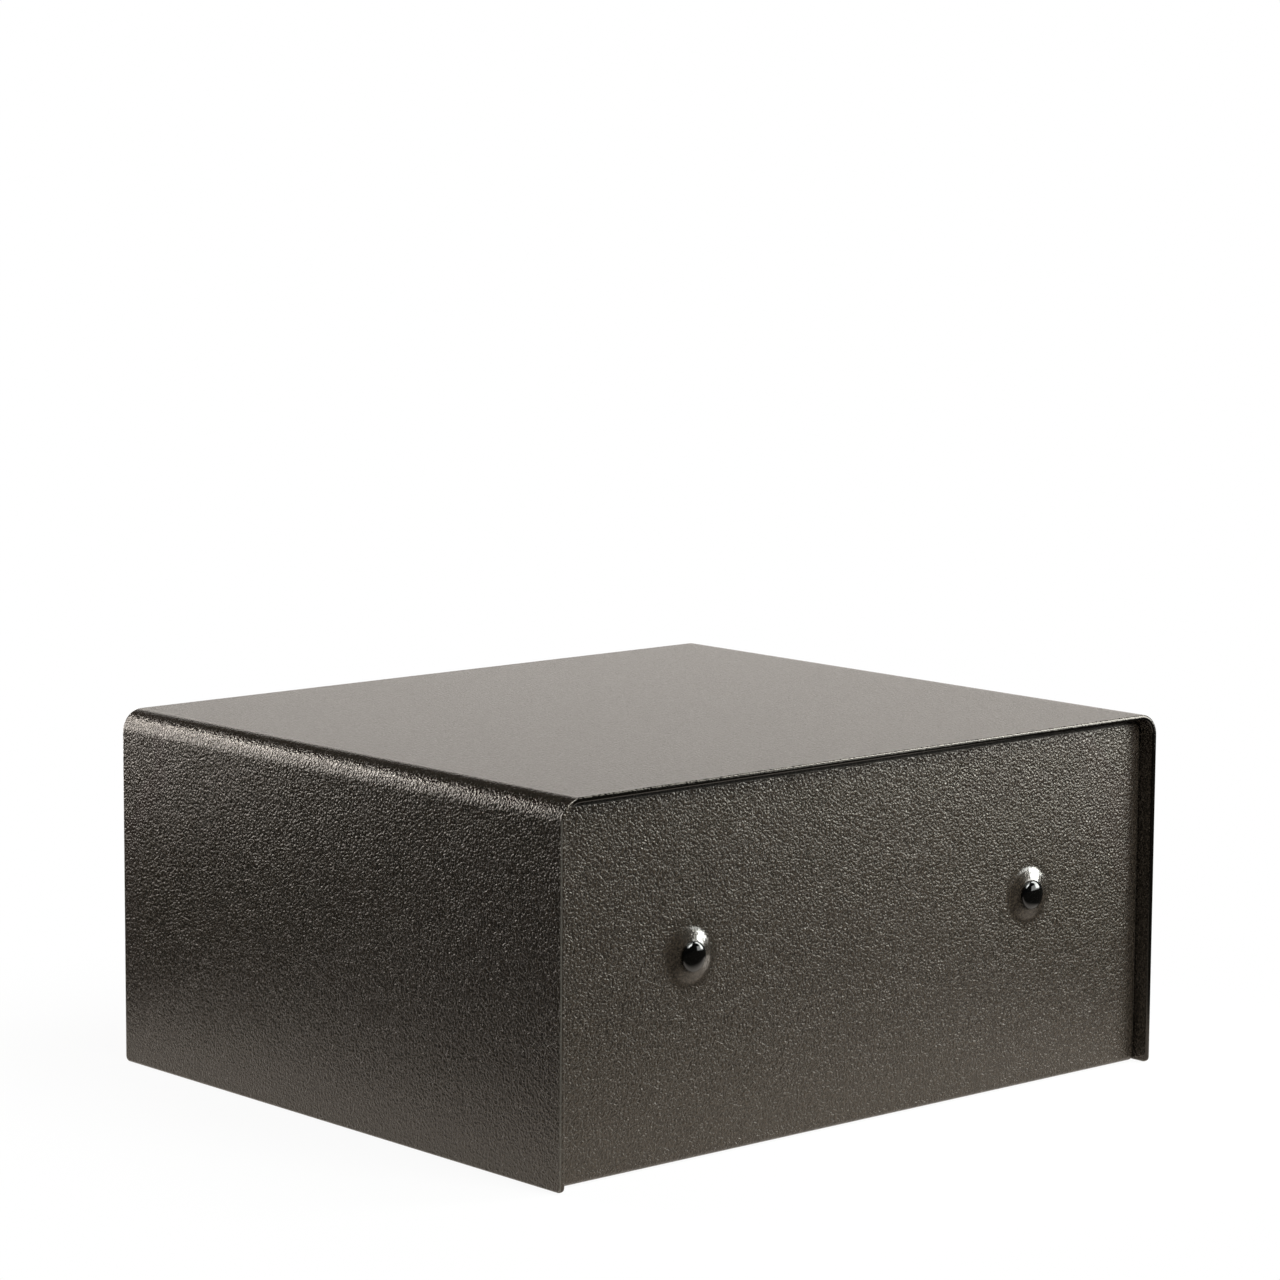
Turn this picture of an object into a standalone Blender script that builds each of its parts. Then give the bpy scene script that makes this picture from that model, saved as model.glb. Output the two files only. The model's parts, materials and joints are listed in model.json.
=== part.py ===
# Parcel drop box of folded sheet steel: a wrapped case with a side-hung locked door,
# a top-hung deposit flap in the door and two plugged wall fixing holes in the back.
# Metres, +Z up. The front with the door faces -Y and the back faces +Y.
# The origin is at the middle of the case, on the surface that it stands on.

import math

import bmesh
import bpy
from mathutils import Matrix, Vector

# Case
BODY_W = 0.440
BODY_D = 0.376
BODY_H = 0.200
WRAP_T = 0.003
WRAP_BEND_R = 0.0125
WRAP_CORNER_R = 0.003
SEAT_GAP = 0.0003

# Rear and front panels, both pressed with folded edges
PANEL_T = 0.002
PANEL_FOLD_R = 0.003
PANEL_FLANGE = 0.014
REAR_INSET = 0.0085
FRONT_INSET = 0.016

# Bosses round the wall fixing holes, and their plugs
BOSS_SPACING = 0.252
BOSS_Z = 0.1075
BOSS_BASE_R = 0.0155
BOSS_TOP_R = 0.0088
BOSS_H = 0.002
FIXING_HOLE_R = 0.0062
PLUG_HEAD_R = 0.008
PLUG_HEAD_H = 0.003
PLUG_RIM_H = 0.0007
PLUG_BARB = 0.0006
PLUG_TAIL = 0.005
PLUG_TIP_R = 0.0045

# Floor
FLOOR_T = 0.002
FLOOR_FOLD_R = 0.003
FLOOR_FLANGE = 0.015
FLOOR_EDGE_GAP = 0.001

# Door opening and the jamb behind it
OPENING_SIDE = 0.030
OPENING_MARGIN = 0.025
JAMB_T = 0.002
JAMB_LIP = 0.008
JAMB_RELIEF = 0.028
DOOR_SEAT = 0.0015
DOOR_BUMPER_R = 0.0033
DOOR_BUMPER_EDGE = 0.0004
BUMPER_SPREAD = 0.090
BUMPER_INSET = 0.120

# Door and its two concealed pivots
DOOR_T = 0.002
DOOR_DEPTH = 0.012
DOOR_LIP = 0.008
DOOR_FOLD_R = 0.0025
DOOR_GAP = 0.0017
HINGE_GAP = 0.002
PIVOT_EDGE = 0.008
PIVOT_DEPTH = 0.006
HINGE_PIN_R = 0.0025
HINGE_PIN_REACH = 0.006
HINGE_HEAD_R = 0.0036
HINGE_HEAD_H = 0.002
HEAD_CHAMFER = 0.0008
WASHER_R = 0.0042
PIN_CLEARANCE = 0.0003

# Deposit slot in the door
SLOT_H = 0.066
SLOT_BELOW_TOP = 0.0333
SLOT_FROM_HINGE = 0.063
SLOT_FROM_LOCK = 0.048
SLOT_CORNER_R = 0.004

# Flap over the slot, on a knuckle hinge
FLAP_T = 0.0015
FLAP_SIDE = 0.012
FLAP_DROP = 0.016
FLAP_RISE = 0.010
FLAP_LIP = 0.0065
FLAP_LIP_R = 0.0015
FLAP_LIP_SLOPE = math.radians(20)
FLAP_SIDE_GAP = 0.001
FLAP_SIDE_START = 0.002
FLAP_PIN_R = 0.002
FLAP_PIN_HEAD = 0.0012
FLAP_PIN_HEAD_R = 0.003
KNUCKLE_COUNT = 7
KNUCKLE_GAP = 0.0004
CURL_OPENING = math.radians(70)
LEAF_H = 0.016
FLAP_BUMPER_R = 0.0045
FLAP_BUMPER_DOME = 0.0028
FLAP_BUMPER_INSET = 0.018

# Saw-toothed baffle behind the slot
BAFFLE_T = 0.0015
BAFFLE_RISE = 0.004
BAFFLE_FLANGE = 0.014
BAFFLE_RUN = 0.028
BAFFLE_FOLD_R = 0.003
BAFFLE_SLOPE = math.radians(45)
BAFFLE_SIDE = 0.006
TOOTH_PITCH = 0.012
TOOTH_DEPTH = 0.006
TOOTH_BLUNT = 0.0006

# Cam lock
LOCK_EDGE = 0.0333
BARREL_R = 0.0095
BARREL_HEAD_R = 0.0115
BARREL_HEAD_H = 0.003
BARREL_CHAMFER = 0.0008
LOCK_PLUG_R = 0.006
LOCK_PLUG_SINK = 0.0003
KEYWAY_W = 0.0022
KEYWAY_H = 0.008
KEYWAY_DEPTH = 0.008
TAIL_SQUARE = 0.007
TAIL_PROUD = 0.0004
NUT_FLATS = 0.024
NUT_H = 0.004
CAM_T = 0.0025
CAM_HUB_R = 0.009
CAM_TIP_R = 0.006
CAM_BITE = 0.013
CAM_CLEARANCE = 0.0007
SCREW_R = 0.0018
SCREW_LENGTH = 0.006
SCREW_HEAD_R = 0.0048
SCREW_HEAD_H = 0.0025

# Facets
FOLD_ANGLE = math.radians(60)
FOLD_STEPS = 4
BEND_STEPS = 8
CURL_STEPS = 14
ROUND_STEPS = 32
PIN_STEPS = 20
CUT_PAST = 0.002

# Places worked out from the sizes
PANEL_HALF_W = BODY_W / 2 - WRAP_T - SEAT_GAP
PANEL_TOP = BODY_H - WRAP_T - SEAT_GAP
PANEL_CORNER_R = WRAP_BEND_R - WRAP_T - SEAT_GAP
REAR_Y = BODY_D / 2 - REAR_INSET
FRONT_Y = -BODY_D / 2 + FRONT_INSET
FLOOR_Z = PANEL_T + SEAT_GAP

OPENING_Z = OPENING_MARGIN
OPENING_TOP = BODY_H - OPENING_MARGIN
OPENING_HALF_W = BODY_W / 2 - OPENING_SIDE
JAMB_FRONT = FRONT_Y + PANEL_T + SEAT_GAP
DOOR_BACK = FRONT_Y + DOOR_DEPTH
LIP_FRONT = DOOR_BACK + DOOR_SEAT
JAMB_BACK = LIP_FRONT + JAMB_T

DOOR_LEFT = -OPENING_HALF_W + HINGE_GAP
DOOR_RIGHT = OPENING_HALF_W - DOOR_GAP
DOOR_BOTTOM = OPENING_Z + DOOR_GAP
DOOR_TOP = OPENING_TOP - DOOR_GAP
DOOR_INNER_Y = FRONT_Y + DOOR_T
PIVOT = Vector((DOOR_LEFT + PIVOT_EDGE, FRONT_Y + PIVOT_DEPTH, 0.0))

LOCK_X = DOOR_RIGHT - LOCK_EDGE
LOCK_Z = (OPENING_Z + OPENING_TOP) / 2
LOCK_AXIS = Vector((LOCK_X, FRONT_Y, LOCK_Z))

SLOT_LEFT = DOOR_LEFT + SLOT_FROM_HINGE
SLOT_RIGHT = LOCK_X - SLOT_FROM_LOCK
SLOT_X = (SLOT_LEFT + SLOT_RIGHT) / 2
SLOT_W = SLOT_RIGHT - SLOT_LEFT
SLOT_TOP = DOOR_TOP - SLOT_BELOW_TOP
SLOT_Z = SLOT_TOP - SLOT_H
CURL_IN_R = FLAP_PIN_R + PIN_CLEARANCE
CURL_R = CURL_IN_R + FLAP_T
FLAP_HALF_W = SLOT_W / 2 + FLAP_SIDE
FLAP_AXIS = Vector((SLOT_X, FRONT_Y - SEAT_GAP - CURL_R, SLOT_TOP + FLAP_RISE))
FLAP_BOTTOM = SLOT_Z - FLAP_DROP
KNUCKLE_W = 2 * FLAP_HALF_W / KNUCKLE_COUNT

CAM_FRONT = JAMB_BACK + CAM_CLEARANCE
CAM_BACK = CAM_FRONT + CAM_T
BARREL_BACK = CAM_FRONT - SEAT_GAP
CAM_REACH = OPENING_HALF_W - JAMB_LIP - LOCK_X + CAM_BITE


def start_scene():
    for obj in list(bpy.data.objects):
        bpy.data.objects.remove(obj, do_unlink=True)
    made = []
    for name in ("parcel_drop_box", "cutters"):
        collection = bpy.data.collections.new(name)
        bpy.context.scene.collection.children.link(collection)
        made.append(collection)
    return made


def finish(name, colour, roughness, metallic):
    material = bpy.data.materials.new(name)
    material.use_nodes = True
    shader = material.node_tree.nodes["Principled BSDF"]
    shader.inputs["Base Color"].default_value = (*colour, 1.0)
    shader.inputs["Roughness"].default_value = roughness
    shader.inputs["Metallic"].default_value = metallic
    return material


PARTS, CUTTERS = start_scene()
COAT = finish("bronze_powder_coat", (0.060, 0.053, 0.046), 0.42, 0.30)
RUBBER = finish("black_rubber", (0.012, 0.012, 0.012), 0.60, 0.0)
GLOSS_BLACK = finish("gloss_black_plug", (0.004, 0.004, 0.004), 0.10, 0.0)
ZINC = finish("zinc_plated_steel", (0.52, 0.52, 0.50), 0.35, 1.0)
CHROME = finish("nickel_plated_lock", (0.62, 0.61, 0.58), 0.18, 1.0)
NYLON = finish("white_nylon", (0.70, 0.69, 0.65), 0.45, 0.0)


def new_object(name, bm, material):
    mesh = bpy.data.meshes.new(name)
    bm.to_mesh(mesh)
    bm.free()
    obj = bpy.data.objects.new(name, mesh)
    if material is None:
        obj.hide_render = True
        obj.display_type = "WIRE"
        CUTTERS.objects.link(obj)
    else:
        mesh.materials.append(material)
        PARTS.objects.link(obj)
    return obj


def box_mesh(low, high):
    low = Vector(low)
    high = Vector(high)
    bm = bmesh.new()
    bmesh.ops.create_cube(bm, size=1.0)
    bmesh.ops.scale(bm, vec=high - low, verts=bm.verts)
    bmesh.ops.translate(bm, vec=(low + high) / 2, verts=bm.verts)
    return bm


def box(name, low, high, material=None):
    return new_object(name, box_mesh(low, high), material)


def rod(name, radius, start, end, steps=ROUND_STEPS, material=None):
    start = Vector(start)
    along = Vector(end) - start
    bm = bmesh.new()
    bmesh.ops.create_cone(
        bm, cap_ends=True, segments=steps, radius1=radius, radius2=radius, depth=along.length
    )
    turn = Vector((0, 0, 1)).rotation_difference(along).to_matrix().to_4x4()
    bmesh.ops.transform(bm, matrix=Matrix.Translation(start + along / 2) @ turn, verts=bm.verts)
    return new_object(name, bm, material)


def sheet(name, bm, thickness, sharp_folds=False):
    """A sheet part whose outer surface is the given one."""
    obj = new_object(name, bm, COAT)
    modifier = obj.modifiers.new("sheet", "SOLIDIFY")
    modifier.thickness = thickness
    modifier.offset = -1.0
    modifier.use_even_offset = True
    if sharp_folds:
        modifier.solidify_mode = "NON_MANIFOLD"
        modifier.nonmanifold_thickness_mode = "CONSTRAINTS"
    return obj


def boolean(obj, other, operation="DIFFERENCE"):
    modifier = obj.modifiers.new(other.name, "BOOLEAN")
    modifier.operation = operation
    modifier.solver = "EXACT"
    modifier.object = other


def rounded_path(corners, radius, steps=FOLD_STEPS):
    """An open path in a plane, with its inner corners turned into arcs."""
    corners = [Vector(corner) for corner in corners]
    path = [corners[0]]
    for before, corner, after in zip(corners, corners[1:], corners[2:]):
        back = (before - corner).normalized()
        ahead = (after - corner).normalized()
        half = back.angle(ahead) / 2
        middle = corner + (back + ahead).normalized() * radius / math.sin(half)
        first = corner + back * radius / math.tan(half) - middle
        last = corner + ahead * radius / math.tan(half) - middle
        for step in range(steps + 1):
            path.append(middle + first.slerp(last, step / steps) * radius)
    path.append(corners[-1])
    return path


def arc(centre, radius, start, end, steps):
    """Points on an arc from one angle to another, the first and the last included."""
    points = []
    for step in range(steps + 1):
        angle = start + (end - start) * step / steps
        points.append(Vector((centre[0] + radius * math.cos(angle), centre[1] + radius * math.sin(angle))))
    return points


def strip(path, run, across):
    """An open surface: a path in the XZ plane run along Y, or one in the YZ plane run along X."""
    bm = bmesh.new()
    rows = []
    for first, second in path:
        row = []
        for place in run:
            spot = (place, first, second) if across == "X" else (first, place, second)
            row.append(bm.verts.new(spot))
        rows.append(row)
    for row, after in zip(rows, rows[1:]):
        bm.faces.new((row[0], after[0], after[1], row[1]))
    return bm


def pan(low, high, open_side, fold_radius, lip=0.0, top_radius=0.0):
    """A pressed tray's surface: a box left open on one side, with an inward lip there if asked for."""
    bm = box_mesh(low, high)
    if top_radius:
        corners = []
        for edge in bm.edges:
            first, second = (vert.co for vert in edge.verts)
            if min(first.z, second.z) > low[2] + top_radius and abs(first.x - second.x) < top_radius:
                corners.append(edge)
        bmesh.ops.bevel(
            bm, geom=corners, offset=top_radius, segments=BEND_STEPS, profile=0.5, affect="EDGES"
        )
    bm.normal_update()
    back = max(bm.faces, key=lambda face: face.normal.dot(Vector(open_side)))
    if lip:
        bmesh.ops.inset_region(bm, faces=[back], thickness=lip, use_even_offset=True)
    bmesh.ops.delete(bm, geom=[back], context="FACES_ONLY")
    folds = [edge for edge in bm.edges if edge.is_manifold and edge.calc_face_angle() > FOLD_ANGLE]
    bmesh.ops.bevel(
        bm, geom=folds, offset=fold_radius, segments=FOLD_STEPS, profile=0.5, affect="EDGES"
    )
    return bm


def turned(name, profile, axis, place, material, closed=False, steps=ROUND_STEPS):
    """A profile of radius and height, run down its outer side and turned round an axis."""
    bm = bmesh.new()
    verts = [bm.verts.new((radius, 0.0, height)) for radius, height in profile]
    for first, second in zip(verts, verts[1:]):
        bm.edges.new((first, second))
    if closed:
        bm.edges.new((verts[-1], verts[0]))
    obj = new_object(name, bm, material)
    screw = obj.modifiers.new("turn", "SCREW")
    screw.axis = "Z"
    screw.angle = 2 * math.pi
    screw.steps = steps
    screw.render_steps = steps
    screw.use_merge_vertices = True
    screw.merge_threshold = 0.00001
    screw.use_smooth_shade = True
    obj.rotation_euler = Vector((0, 0, 1)).rotation_difference(Vector(axis)).to_euler()
    obj.location = place
    return obj


def flat_outline(name, loops, thickness, place, material):
    """A flat plate in the XZ plane, from an outline and the holes in it."""
    curve = bpy.data.curves.new(name, "CURVE")
    curve.dimensions = "2D"
    curve.fill_mode = "BOTH"
    curve.extrude = thickness / 2
    for loop in loops:
        spline = curve.splines.new("POLY")
        spline.points.add(len(loop) - 1)
        spline.use_cyclic_u = True
        for point, spot in zip(spline.points, loop):
            point.co = (spot[0], spot[1], 0.0, 1.0)
    curve.materials.append(material)
    obj = bpy.data.objects.new(name, curve)
    PARTS.objects.link(obj)
    obj.rotation_euler = (math.pi / 2, 0.0, 0.0)
    obj.location = place
    return obj


def make_body_wrap():
    half = BODY_W / 2
    corners = [(-half, 0.0), (-half, BODY_H), (half, BODY_H), (half, 0.0)]
    path = rounded_path(corners, WRAP_BEND_R, BEND_STEPS)
    bm = strip(path, (-BODY_D / 2, BODY_D / 2), across="Y")
    bm.verts.ensure_lookup_table()
    feet = [vert for vert in bm.verts if vert.co.z < WRAP_CORNER_R]
    bmesh.ops.bevel(
        bm, geom=feet, offset=WRAP_CORNER_R, segments=FOLD_STEPS, profile=0.5, affect="VERTICES"
    )
    sheet("body_wrap", bm, WRAP_T)


def press_bosses(bm, places):
    """Replaces the tray's flat face by one with a pressed boss and its hole at each place."""
    flat = max(bm.faces, key=lambda face: face.calc_area())
    edges = list(flat.edges)
    bmesh.ops.delete(bm, geom=[flat], context="FACES_ONLY")
    rows = []
    for step in range(BEND_STEPS + 1):
        share = step / BEND_STEPS
        radius = BOSS_BASE_R + (BOSS_TOP_R - BOSS_BASE_R) * share
        rows.append((radius, BOSS_H * share * share * (3 - 2 * share)))
    rows.append((FIXING_HOLE_R, BOSS_H))
    for place in places:
        rings = []
        for radius, height in rows:
            circle = arc((place.x, place.z), radius, 0.0, 2 * math.pi, ROUND_STEPS)[:-1]
            rings.append([bm.verts.new((x, place.y + height, z)) for x, z in circle])
        for outer, inner in zip(rings, rings[1:]):
            for index in range(ROUND_STEPS):
                bm.faces.new((outer[index - 1], inner[index - 1], inner[index], outer[index]))
        foot = rings[0]
        edges += [bm.edges.get((foot[index - 1], foot[index])) for index in range(ROUND_STEPS)]
    bmesh.ops.triangle_fill(bm, use_beauty=True, edges=edges, normal=(0, 1, 0))
    bmesh.ops.recalc_face_normals(bm, faces=bm.faces)
    if max(bm.faces, key=lambda face: face.calc_area()).normal.y < 0:
        bmesh.ops.reverse_faces(bm, faces=bm.faces)


def make_rear_panel():
    low = (-PANEL_HALF_W, REAR_Y - PANEL_FLANGE, 0.0)
    high = (PANEL_HALF_W, REAR_Y, PANEL_TOP)
    bm = pan(low, high, (0, -1, 0), PANEL_FOLD_R, top_radius=PANEL_CORNER_R)
    places = [Vector((side * BOSS_SPACING / 2, REAR_Y, BOSS_Z)) for side in (1, -1)]
    press_bosses(bm, places)
    sheet("rear_panel", bm, PANEL_T)
    for name, place in zip(("left", "right"), places):
        make_wall_plug(name, place)


def make_wall_plug(name, place):
    seat = BOSS_H + SEAT_GAP
    behind = BOSS_H - PANEL_T - SEAT_GAP
    stem_r = FIXING_HOLE_R - PIN_CLEARANCE
    rise = PLUG_HEAD_H - PLUG_RIM_H
    profile = []
    for step in range(FOLD_STEPS * 2):
        angle = math.pi / 2 * step / (FOLD_STEPS * 2)
        profile.append((PLUG_HEAD_R * math.sin(angle), seat + PLUG_RIM_H + rise * math.cos(angle)))
    profile += [
        (PLUG_HEAD_R, seat + PLUG_RIM_H),
        (PLUG_HEAD_R, seat),
        (stem_r, seat),
        (stem_r, behind),
        (FIXING_HOLE_R + PLUG_BARB, behind),
        (PLUG_TIP_R, behind - PLUG_TAIL),
        (0.0, behind - PLUG_TAIL),
    ]
    turned(f"wall_plug_{name}", profile, (0, 1, 0), place, GLOSS_BLACK)


def make_floor_pan():
    rim = FLOOR_Z + FLOOR_FLANGE
    half = PANEL_HALF_W
    corners = [(half, rim), (half, FLOOR_Z), (-half, FLOOR_Z), (-half, rim)]
    front = FRONT_Y + PANEL_T + FLOOR_EDGE_GAP
    back = REAR_Y - PANEL_T - FLOOR_EDGE_GAP
    bm = strip(rounded_path(corners, FLOOR_FOLD_R), (front, back), across="Y")
    floor = sheet("floor_pan", bm, FLOOR_T)
    # The corners are notched, so that the ends lap over the panels' lower flanges
    inner = PANEL_HALF_W - PANEL_T - FLOOR_EDGE_GAP
    ends = {
        "front": (front - CUT_PAST, FRONT_Y + PANEL_FLANGE + FLOOR_EDGE_GAP),
        "rear": (REAR_Y - PANEL_FLANGE - FLOOR_EDGE_GAP, back + CUT_PAST),
    }
    for end, (start, stop) in ends.items():
        for side, name in ((-1, "left"), (1, "right")):
            spots = sorted((side * inner, side * (half + CUT_PAST)))
            notch = box(f"floor_notch_{end}_{name}", (spots[0], start, 0), (spots[1], stop, rim + CUT_PAST))
            boolean(floor, notch)


def make_front_frame():
    low = (-PANEL_HALF_W, FRONT_Y, 0.0)
    high = (PANEL_HALF_W, FRONT_Y + PANEL_FLANGE, PANEL_TOP)
    bm = pan(low, high, (0, 1, 0), PANEL_FOLD_R, top_radius=PANEL_CORNER_R)
    frame = sheet("front_frame", bm, PANEL_T)
    low = (-OPENING_HALF_W, FRONT_Y - CUT_PAST, OPENING_Z)
    high = (OPENING_HALF_W, FRONT_Y + PANEL_T + CUT_PAST, OPENING_TOP)
    boolean(frame, box("door_opening", low, high))


def make_door_jamb():
    low = (-OPENING_HALF_W - JAMB_T, JAMB_FRONT, OPENING_Z - JAMB_T)
    high = (OPENING_HALF_W + JAMB_T, JAMB_BACK, OPENING_TOP + JAMB_T)
    jamb = box("door_jamb", low, high, COAT)
    low = (-OPENING_HALF_W, JAMB_FRONT - CUT_PAST, OPENING_Z)
    high = (OPENING_HALF_W, LIP_FRONT, OPENING_TOP)
    boolean(jamb, box("jamb_pocket", low, high))
    low = (-OPENING_HALF_W, LIP_FRONT - CUT_PAST, OPENING_Z + JAMB_LIP)
    high = (OPENING_HALF_W - JAMB_LIP, JAMB_BACK + CUT_PAST, OPENING_TOP - JAMB_LIP)
    boolean(jamb, box("jamb_mouth", low, high))
    # The lip stops short of the hinge side, where the door's edge swings in
    low = (-OPENING_HALF_W, LIP_FRONT - CUT_PAST, OPENING_Z)
    high = (-OPENING_HALF_W + JAMB_RELIEF, JAMB_BACK + CUT_PAST, OPENING_TOP)
    boolean(jamb, box("jamb_relief", low, high))
    start = (PIVOT.x, PIVOT.y, OPENING_Z - JAMB_T - CUT_PAST)
    end = (PIVOT.x, PIVOT.y, OPENING_TOP + JAMB_T + CUT_PAST)
    boolean(jamb, rod("jamb_pin_holes", HINGE_PIN_R + PIN_CLEARANCE, start, end, PIN_STEPS))


def make_door_bumpers():
    middle_z = (OPENING_Z + OPENING_TOP) / 2
    lip_x = OPENING_HALF_W - JAMB_LIP / 2
    strip_x = OPENING_HALF_W - BUMPER_INSET
    places = (
        (lip_x, middle_z + BUMPER_SPREAD / 2),
        (lip_x, middle_z - BUMPER_SPREAD / 2),
        (strip_x, OPENING_TOP - JAMB_LIP / 2),
        (strip_x, OPENING_Z + JAMB_LIP / 2),
    )
    height = DOOR_SEAT - 2 * SEAT_GAP
    profile = [
        (0.0, height),
        (DOOR_BUMPER_R - DOOR_BUMPER_EDGE, height),
        (DOOR_BUMPER_R, height - DOOR_BUMPER_EDGE),
        (DOOR_BUMPER_R, 0.0),
        (0.0, 0.0),
    ]
    for number, (x, z) in enumerate(places, start=1):
        spot = (x, LIP_FRONT - SEAT_GAP, z)
        turned(f"door_bumper_{number}", profile, (0, -1, 0), spot, RUBBER, steps=PIN_STEPS)


def make_hinge_pins():
    washer_h = DOOR_GAP - 2 * SEAT_GAP
    hole_r = HINGE_PIN_R + PIN_CLEARANCE
    washer = [(hole_r, washer_h), (WASHER_R, washer_h), (WASHER_R, 0.0), (hole_r, 0.0)]
    shank = JAMB_T + DOOR_GAP + DOOR_T + HINGE_PIN_REACH
    head = HINGE_HEAD_H
    pin = [
        (0.0, head),
        (HINGE_HEAD_R - HEAD_CHAMFER, head),
        (HINGE_HEAD_R, head - HEAD_CHAMFER),
        (HINGE_HEAD_R, 0.0),
        (HINGE_PIN_R, 0.0),
        (HINGE_PIN_R, HEAD_CHAMFER - shank),
        (HINGE_PIN_R - HEAD_CHAMFER, -shank),
        (0.0, -shank),
    ]
    ends = {
        "upper": (1, OPENING_TOP + JAMB_T + SEAT_GAP, OPENING_TOP - SEAT_GAP - washer_h),
        "lower": (-1, OPENING_Z - JAMB_T - SEAT_GAP, OPENING_Z + SEAT_GAP + washer_h),
    }
    for end, (way, pin_z, washer_z) in ends.items():
        axis = (0, 0, way)
        turned(f"hinge_pin_{end}", pin, axis, (PIVOT.x, PIVOT.y, pin_z), ZINC, steps=PIN_STEPS)
        spot = (PIVOT.x, PIVOT.y, washer_z)
        turned(f"hinge_washer_{end}", washer, axis, spot, NYLON, closed=True, steps=PIN_STEPS)


def make_door_panel():
    low = (DOOR_LEFT, FRONT_Y, DOOR_BOTTOM)
    high = (DOOR_RIGHT, DOOR_BACK, DOOR_TOP)
    door = sheet("door_panel", pan(low, high, (0, 1, 0), DOOR_FOLD_R, lip=DOOR_LIP), DOOR_T)
    low = (SLOT_LEFT, FRONT_Y - CUT_PAST, SLOT_Z)
    high = (SLOT_RIGHT, DOOR_INNER_Y + CUT_PAST, SLOT_TOP)
    slot = box("deposit_slot", low, high)
    rounding = slot.modifiers.new("corners", "BEVEL")
    rounding.width = SLOT_CORNER_R
    rounding.segments = FOLD_STEPS
    rounding.limit_method = "WEIGHT"
    weights = slot.data.attributes.new("bevel_weight_edge", "FLOAT", "EDGE")
    for edge, weight in zip(slot.data.edges, weights.data):
        ends = [slot.data.vertices[index].co for index in edge.vertices]
        weight.value = float(abs(ends[0].y - ends[1].y) > DOOR_T)
    boolean(door, slot)
    start = (LOCK_X, FRONT_Y - CUT_PAST, LOCK_Z)
    end = (LOCK_X, DOOR_INNER_Y + CUT_PAST, LOCK_Z)
    boolean(door, rod("lock_hole", BARREL_R + PIN_CLEARANCE, start, end))
    start = (PIVOT.x, PIVOT.y, DOOR_BOTTOM - CUT_PAST)
    end = (PIVOT.x, PIVOT.y, DOOR_TOP + CUT_PAST)
    boolean(door, rod("door_pin_holes", HINGE_PIN_R + PIN_CLEARANCE, start, end, PIN_STEPS))
    return door


def cut_knuckles(obj, first):
    """Leaves every second knuckle on a hinge part, from the first or the second one on."""
    reach = CURL_R + KNUCKLE_GAP
    for index in range(KNUCKLE_COUNT):
        if index % 2 == first:
            continue
        left = FLAP_AXIS.x - FLAP_HALF_W + index * KNUCKLE_W
        right = left + KNUCKLE_W
        left -= CUT_PAST if index == 0 else KNUCKLE_GAP / 2
        right += CUT_PAST if index == KNUCKLE_COUNT - 1 else KNUCKLE_GAP / 2
        low = (left, FLAP_AXIS.y - reach, FLAP_AXIS.z - reach)
        high = (right, FLAP_AXIS.y + reach, FLAP_AXIS.z + reach)
        boolean(obj, box(f"{obj.name}_notch_{index}", low, high))


def make_flap_hinge():
    centre = (FLAP_AXIS.y, FLAP_AXIS.z)
    run = (FLAP_AXIS.x - FLAP_HALF_W, FLAP_AXIS.x + FLAP_HALF_W)
    # The leaf's curl runs from its free end over the front and under the pin to the back
    path = arc(centre, CURL_R, CURL_OPENING, 2 * math.pi, CURL_STEPS)
    path.append(Vector((FLAP_AXIS.y + CURL_R, FLAP_AXIS.z + LEAF_H)))
    leaf = sheet("flap_hinge_leaf", strip(path, run, across="X"), FLAP_T)
    cut_knuckles(leaf, 0)
    half = FLAP_HALF_W + SEAT_GAP
    top = half + FLAP_PIN_HEAD
    profile = [
        (0.0, top),
        (FLAP_PIN_HEAD_R, top),
        (FLAP_PIN_HEAD_R, half),
        (FLAP_PIN_R, half),
        (FLAP_PIN_R, -half),
        (FLAP_PIN_HEAD_R, -half),
        (FLAP_PIN_HEAD_R, -top),
        (0.0, -top),
    ]
    pin = turned("flap_hinge_pin", profile, (1, 0, 0), FLAP_AXIS, ZINC, steps=PIN_STEPS)
    return [leaf, pin]


def make_deposit_flap():
    front = FLAP_AXIS.y - CURL_R
    drop = math.tan(FLAP_LIP_SLOPE) * FLAP_LIP
    lip = [
        (front, FLAP_AXIS.z - FLAP_SIDE_START),
        (front, FLAP_BOTTOM + drop),
        (front - FLAP_LIP, FLAP_BOTTOM),
    ]
    # The curl runs from its free end up the back of the pin and over it to the front
    path = arc((FLAP_AXIS.y, FLAP_AXIS.z), CURL_R, CURL_OPENING - math.pi, math.pi, CURL_STEPS)
    path += rounded_path(lip, FLAP_LIP_R)
    bm = strip(path, (FLAP_AXIS.x - FLAP_HALF_W, FLAP_AXIS.x + FLAP_HALF_W), across="X")
    # The plate's two sides fold back towards the door, up to the outer knuckle notches
    ends = [FLAP_AXIS.z - FLAP_SIDE_START, FLAP_BOTTOM + drop]
    sides = []
    for edge in bm.edges:
        heights = [vert.co.z for vert in edge.verts]
        upright = edge.is_boundary and abs(heights[0] - heights[1]) > (ends[0] - ends[1]) / 2
        if upright:
            sides.append(edge)
    fold = bmesh.ops.extrude_edge_only(bm, edges=sides)
    depth = FRONT_Y - FLAP_SIDE_GAP - front
    verts = [item for item in fold["geom"] if isinstance(item, bmesh.types.BMVert)]
    bmesh.ops.translate(bm, vec=(0.0, depth, 0.0), verts=verts)
    bmesh.ops.translate(bm, vec=-FLAP_AXIS, verts=bm.verts)
    flap = sheet("deposit_flap", bm, FLAP_T, sharp_folds=True)
    flap.location = FLAP_AXIS
    cut_knuckles(flap, 1)
    return flap


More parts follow.
